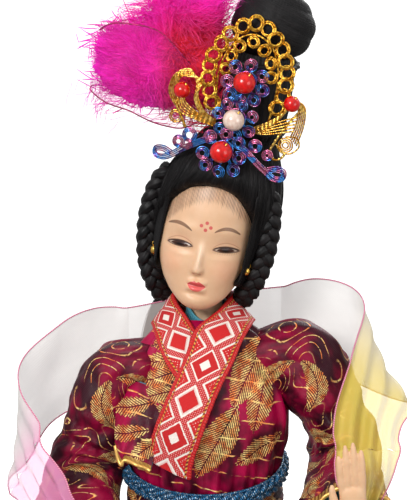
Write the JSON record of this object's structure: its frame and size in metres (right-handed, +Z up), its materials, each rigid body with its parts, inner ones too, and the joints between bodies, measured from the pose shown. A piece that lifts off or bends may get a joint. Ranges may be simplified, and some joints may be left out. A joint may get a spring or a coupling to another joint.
{
  "type": "costumed court-lady puppet",
  "caption": "Posable costumed puppet of a court lady in a crimson brocade robe and sheer shawl, with a wire headdress and topknot, on a square wooden stand.",
  "frame": {"origin": "centre of the flat underside of the stand", "axes": "+Z up; the puppet faces -Y; +X is the puppet's left"},
  "size_m": [0.1151, 0.1, 0.3071],
  "materials": {
    "felt": "matte felt",
    "lacquer": "gloss lacquer over wood",
    "wood": "plain turned wood",
    "foam": "rigid foam",
    "steel": "zinc plated",
    "brocade": "crimson satin brocade with gold thread",
    "trim": "woven red and white ribbon",
    "teal": "teal metallic gimp and satin",
    "skin": "painted resin",
    "eye": "glossy dark brown",
    "hair": "black fibre hair",
    "feather": "dyed marabou feather",
    "organza": "sheer dyed organza",
    "gold": "gold-plated wire filigree",
    "iris": "iridescent blue and pink lacquered wire",
    "bead": "red gloss",
    "pearl": "pearl lustre"
  },
  "bodies": {
    "torso": {"base_felt": "felt", "stand_base": "lacquer", "stand_post": "wood", "post_screw": "steel", "skirt_form": "foam", "torso_core": "wood", "robe_bodice": "brocade", "robe_skirt": "brocade", "waist_sash": "brocade", "waist_braid": "teal", "collar_over": "trim", "collar_under": "trim", "inner_collar": "teal", "hair_tail": "hair", "shawl_back": "organza", "left_shawl_loop": "organza", "right_shawl_loop": "organza"},
    "neck": {"neck": "skin"},
    "head": {"head": "skin", "left_eye": "eye", "right_eye": "eye", "left_earring": "gold", "right_earring": "gold", "hair_cap": "hair", "topknot_stem": "hair", "topknot_bun": "hair", "left_braid": "hair", "right_braid": "hair", "rosette_lower": "iris", "rosette_middle": "iris", "rosette_upper": "iris", "left_brow_scroll": "iris", "right_brow_scroll": "iris", "bead_lower": "bead", "pearl_middle": "pearl", "bead_upper": "bead", "bead_left_wing": "bead", "bead_right_wing": "bead", "filigree_arch": "gold", "filigree_inner": "gold", "left_wing": "gold", "right_wing": "gold", "hair_ribbon": "organza", "feather_plume": "feather"},
    "left_upper_arm": {"left_upper_arm": "wood", "left_upper_sleeve": "brocade", "left_elbow_pin": "steel"},
    "left_forearm": {"left_forearm": "wood", "left_lower_sleeve": "brocade", "left_shawl_end": "organza"},
    "left_hand": {"left_hand": "skin"},
    "right_upper_arm": {"right_upper_arm": "wood", "right_upper_sleeve": "brocade", "right_elbow_pin": "steel"},
    "right_forearm": {"right_forearm": "wood", "right_lower_sleeve": "brocade", "right_shawl_end": "organza"},
    "right_hand": {"right_hand": "skin"}
  },
  "joints": [
    {"name": "neck_turn", "type": "hinge", "parent": "torso", "child": "neck", "pos_m": [0.0006, 0.004, 0.223], "axis": [0, 0, 1], "range_deg": [-20, 20], "deforming": ["hair_tail"]},
    {"name": "head_nod", "type": "hinge", "parent": "neck", "child": "head", "pos_m": [0.0006, 0.004, 0.223], "axis": [0.9619, -0.187, -0.1994], "range_deg": [-6, 5]},
    {"name": "left_shoulder", "type": "hinge", "parent": "torso", "child": "left_upper_arm", "pos_m": [0.0215, 0.001, 0.202], "axis": [-1, 0, 0], "range_deg": [-4, 18], "deforming": ["left_shawl_loop", "left_shawl_end"]},
    {"name": "left_elbow", "type": "hinge", "parent": "left_upper_arm", "child": "left_forearm", "pos_m": [0.042, 0.004, 0.17], "axis": [-0.8346, 0.1909, -0.5168], "range_deg": [-8, 14]},
    {"name": "left_wrist", "type": "hinge", "parent": "left_forearm", "child": "left_hand", "pos_m": [0.03994, -0.02724, 0.16178], "axis": [-0.0635, -0.9651, -0.254], "range_deg": [-20, 20]},
    {"name": "right_shoulder", "type": "hinge", "parent": "torso", "child": "right_upper_arm", "pos_m": [-0.0215, 0.001, 0.2], "axis": [-1, 0, 0], "range_deg": [-4, 18], "deforming": ["right_shawl_loop", "right_shawl_end"]},
    {"name": "right_elbow", "type": "hinge", "parent": "right_upper_arm", "child": "right_forearm", "pos_m": [-0.0375, 0.004, 0.166], "axis": [-0.8758, -0.2891, 0.3866], "range_deg": [-8, 14]},
    {"name": "right_wrist", "type": "hinge", "parent": "right_forearm", "child": "right_hand", "pos_m": [-0.03468, -0.02177, 0.15312], "axis": [0.0974, -0.8902, -0.4451], "range_deg": [-20, 20]}
  ]
}
